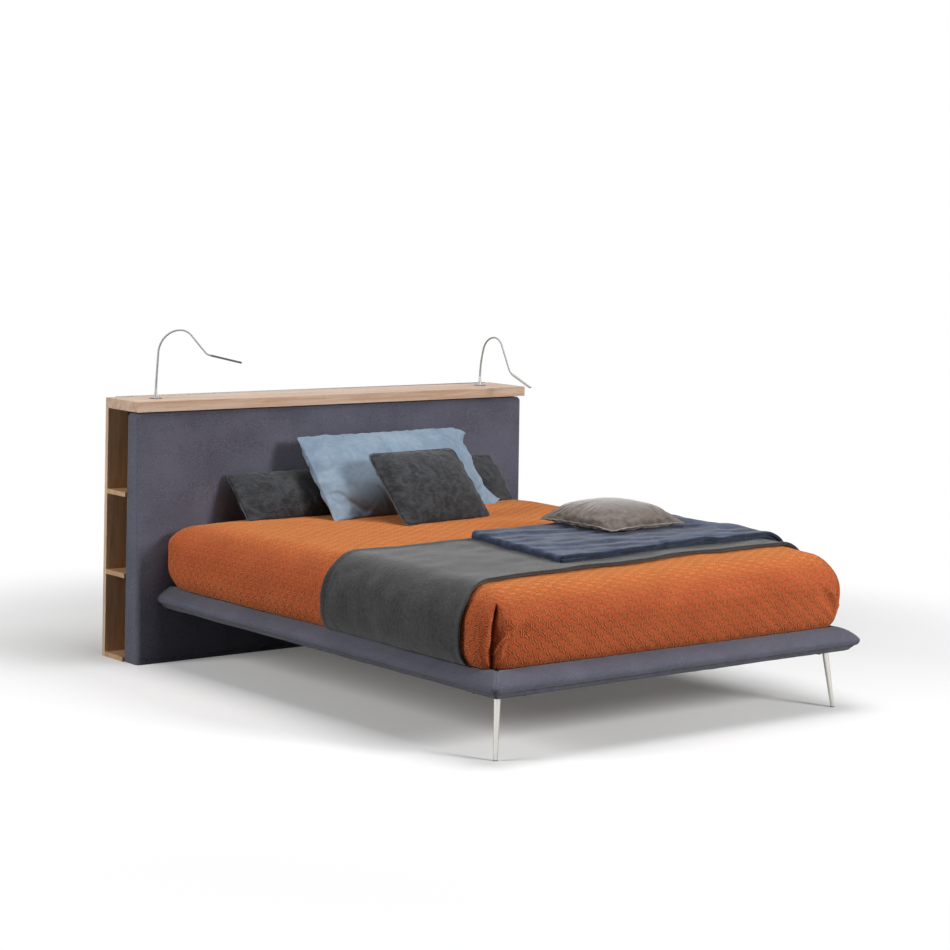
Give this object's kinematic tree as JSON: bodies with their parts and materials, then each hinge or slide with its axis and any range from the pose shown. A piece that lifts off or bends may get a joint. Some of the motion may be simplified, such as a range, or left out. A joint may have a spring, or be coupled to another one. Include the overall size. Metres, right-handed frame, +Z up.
{
  "type": "bookcase headboard bed",
  "caption": "Double bed with a padded panel on a bookcase headboard, a padded platform on splayed metal legs, gooseneck reading lamps and dressed bedding.",
  "frame": {"origin": "on the floor, at the centre of the bookcase's footprint", "axes": "+X to the right for a viewer at the foot of the bed, +Y towards the wall, +Z up"},
  "size_m": [1.935, 2.3051, 1.2954],
  "materials": {
    "oak_top": "clear satin oak",
    "oak_case": "clear satin oak veneer",
    "birch_core": "sanded plywood",
    "beech_slat": "lacquered beech",
    "panel_fabric": "blue-grey melange weave",
    "rail_fabric": "blue-grey melange weave",
    "grey_trim": "satin anodised",
    "zinc_steel": "zinc plated",
    "dark_steel": "matt powder coat",
    "leg_metal": "satin chrome",
    "glide_plastic": "moulded",
    "cap_rubber": "moulded rubber",
    "lamp_base": "satin dark grey",
    "lamp_metal": "satin",
    "lamp_arm": "satin sheath",
    "lamp_head_dark": "satin dark grey",
    "lamp_light": "opal",
    "mattress_cloth": "white knit ticking",
    "orange_matelasse": "embossed cotton",
    "grey_wool": "brushed wool melange",
    "navy_velvet": "velvet",
    "brown_velvet": "velvet with piping",
    "blue_cotton": "washed cotton",
    "grey_velvet": "velvet"
  },
  "bodies": {
    "bed_frame": {"beam_saddles": "dark_steel", "bookcase_back_board": "oak_case", "bookcase_base_board": "oak_case", "bookcase_cable_strip": "grey_trim", "bookcase_dowels": "beech_slat", "bookcase_screws": "zinc_steel", "bookcase_top_board": "oak_top", "bracket_bolts": "zinc_steel", "centre_beam": "dark_steel", "centre_upright": "oak_case", "corner_brackets": "dark_steel", "divider_left": "oak_case", "divider_right": "oak_case", "headboard_board": "oak_case", "headboard_upholstery": "panel_fabric", "joint_bolts": "zinc_steel", "joint_plates": "zinc_steel", "lamp_flanges": "lamp_base", "lamp_nuts": "zinc_steel", "lamp_sleeves": "lamp_metal", "leg_glides": "glide_plastic", "leg_plates": "dark_steel", "legs": "leg_metal", "rail_core_foot": "birch_core", "rail_core_head": "birch_core", "rail_core_left": "birch_core", "rail_core_right": "birch_core", "rail_pad_foot": "rail_fabric", "rail_pad_left": "rail_fabric", "rail_pad_right": "rail_fabric", "shelf_left_lower": "oak_case", "shelf_left_upper": "oak_case", "shelf_right_lower": "oak_case", "shelf_right_upper": "oak_case", "slat_caps": "cap_rubber", "slat_ledge_left": "dark_steel", "slat_ledge_right": "dark_steel", "slats_left": "beech_slat", "slats_right": "beech_slat"},
    "lamp_left_stem": {"lamp_left_arm_lower": "lamp_arm"},
    "lamp_left_neck": {"lamp_left_arm_upper": "lamp_arm"},
    "lamp_left_bar": {"lamp_left_head": "lamp_head_dark", "lamp_left_light": "lamp_light"},
    "lamp_right_stem": {"lamp_right_arm_lower": "lamp_arm"},
    "lamp_right_neck": {"lamp_right_arm_upper": "lamp_arm"},
    "lamp_right_bar": {"lamp_right_head": "lamp_head_dark", "lamp_right_light": "lamp_light"},
    "bedding": {"mattress": "mattress_cloth", "bedspread": "orange_matelasse", "throw": "grey_wool", "folded_blanket": "navy_velvet", "cushion_grey_left": "grey_velvet", "cushion_grey_right": "grey_velvet"},
    "pillow": {"pillow_blue": "blue_cotton"},
    "front_cushion": {"cushion_grey_front": "grey_velvet"},
    "top_cushion": {"cushion_brown": "brown_velvet"}
  },
  "joints": [
    {"name": "lamp_left_turn", "type": "hinge", "parent": "bed_frame", "child": "lamp_left_stem", "pos_m": [-0.815, 0, 1.02], "axis": [0, 0, 1], "range_deg": [-75, 45]},
    {"name": "lamp_left_bend", "type": "hinge", "parent": "lamp_left_stem", "child": "lamp_left_neck", "pos_m": [-0.75774, -0.07329, 1.291], "axis": [0.788, 0.6157, 0], "range_deg": [-20, 15]},
    {"name": "lamp_left_tilt", "type": "hinge", "parent": "lamp_left_neck", "child": "lamp_left_bar", "pos_m": [-0.68008, -0.17269, 1.19804], "axis": [0.788, 0.6157, 0], "range_deg": [-30, 30]},
    {"name": "lamp_right_turn", "type": "hinge", "parent": "bed_frame", "child": "lamp_right_stem", "pos_m": [0.815, 0, 1.02], "axis": [0, 0, 1], "range_deg": [-45, 45]},
    {"name": "lamp_right_bend", "type": "hinge", "parent": "lamp_right_stem", "child": "lamp_right_neck", "pos_m": [0.815, -0.09186, 1.23212], "axis": [1, 0, 0], "range_deg": [-20, 15]},
    {"name": "lamp_right_tilt", "type": "hinge", "parent": "lamp_right_neck", "child": "lamp_right_bar", "pos_m": [0.815, -0.21487, 1.08496], "axis": [1, 0, 0], "range_deg": [-30, 25]},
    {"name": "bedding_lift", "type": "slide", "parent": "bed_frame", "child": "bedding", "axis": [0, 0, 1], "range_m": [0, 0.1]},
    {"name": "pillow_lift", "type": "slide", "parent": "bedding", "child": "pillow", "axis": [0, 0, 1], "range_m": [0, 0.1]},
    {"name": "front_cushion_lift", "type": "slide", "parent": "pillow", "child": "front_cushion", "axis": [0, 0, 1], "range_m": [0, 0.1]},
    {"name": "top_cushion_lift", "type": "slide", "parent": "bedding", "child": "top_cushion", "axis": [0, 0, 1], "range_m": [0, 0.15]}
  ]
}
